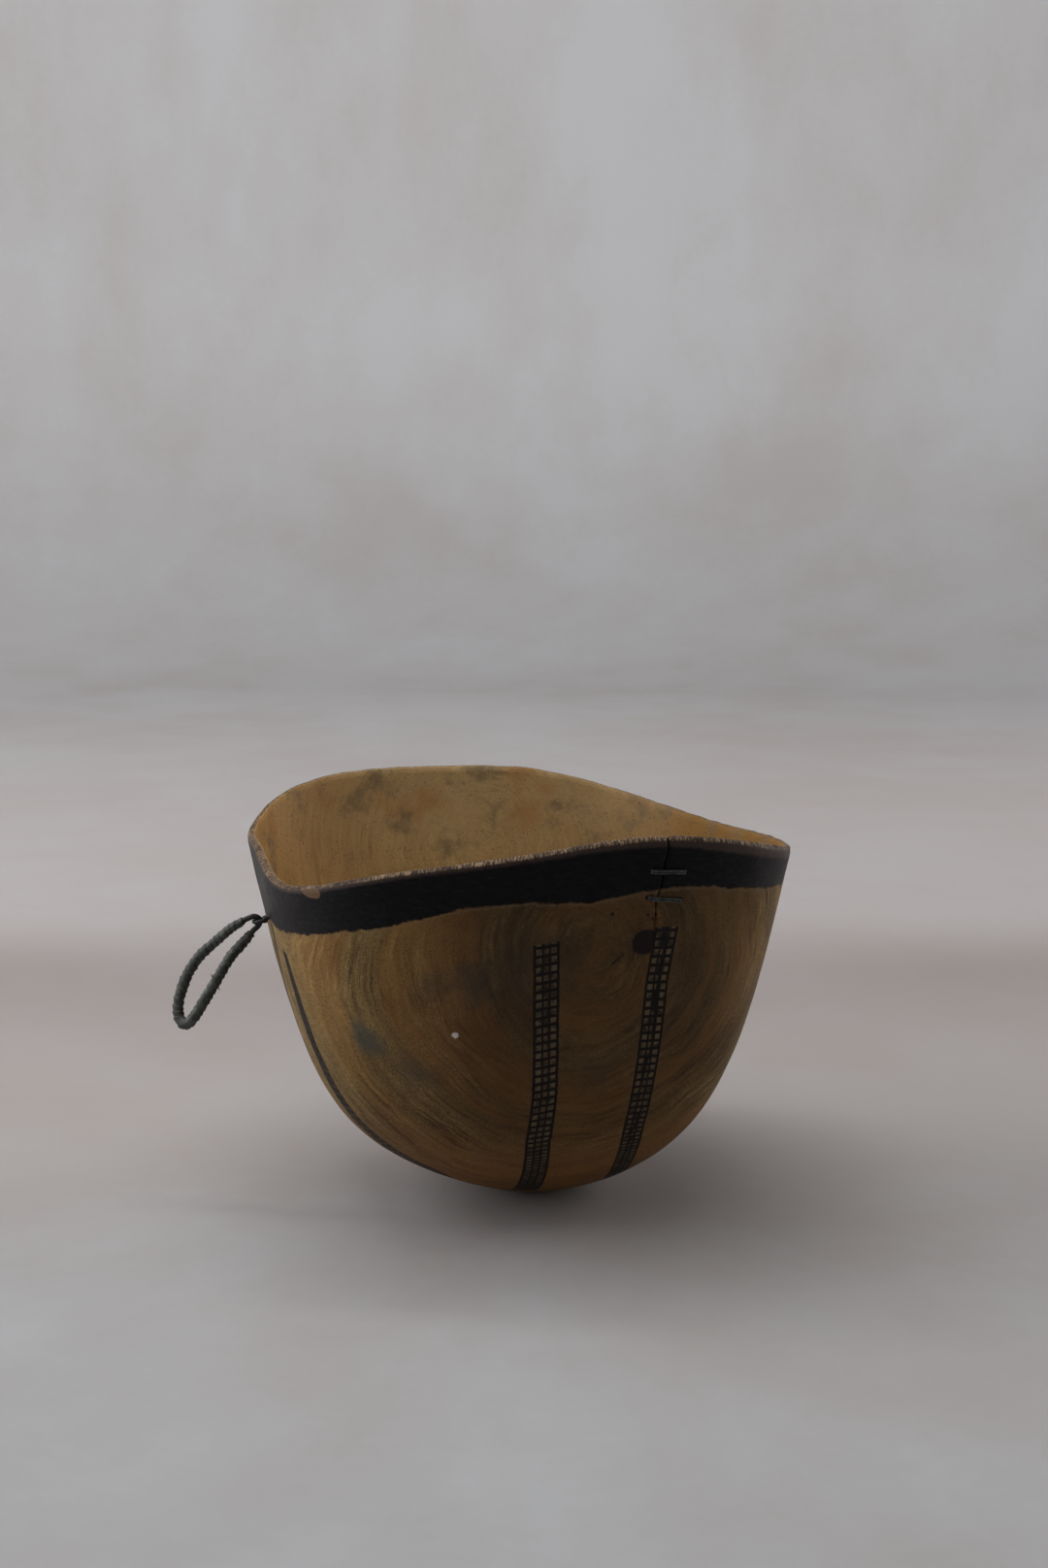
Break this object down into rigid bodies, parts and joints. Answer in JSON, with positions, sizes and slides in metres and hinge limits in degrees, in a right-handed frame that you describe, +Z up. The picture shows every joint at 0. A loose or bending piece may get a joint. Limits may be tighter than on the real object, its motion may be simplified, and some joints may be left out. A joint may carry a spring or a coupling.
{
  "type": "carved wooden drinking bowl",
  "caption": "Deep round-bottomed bowl carved from one block, with a wavy rim, wire stitches across a split and a wrapped hanging loop that swings.",
  "frame": {"origin": "middle of the small worn flat that the bowl stands on", "axes": "+Z up, +Y along the wood's grain and the longer side of the rim, the hanging loop on the -X side, the stitched split at the -Y end"},
  "size_m": [0.2108, 0.2, 0.1445],
  "materials": {
    "carved_wood": "hand carved and worn, blackened under the rim",
    "wire": "dark and dull with age",
    "thong": "greasy rawhide",
    "wrapping": "worn strip, grey-green"
  },
  "bodies": {
    "vessel": {"bowl": "carved_wood", "stitch_upper": "wire", "stitch_lower": "wire", "loop_tie": "thong"},
    "loop": {"loop_core": "thong", "wrap_upper": "wrapping", "wrap_tip": "wrapping", "wrap_lower": "wrapping"}
  },
  "joints": [
    {"name": "loop_swing", "type": "hinge", "parent": "vessel", "child": "loop", "pos_m": [-0.09705, 0.00755, 0.09968], "axis": [0.0009, 1, 0], "range_deg": [-40, 100]}
  ]
}
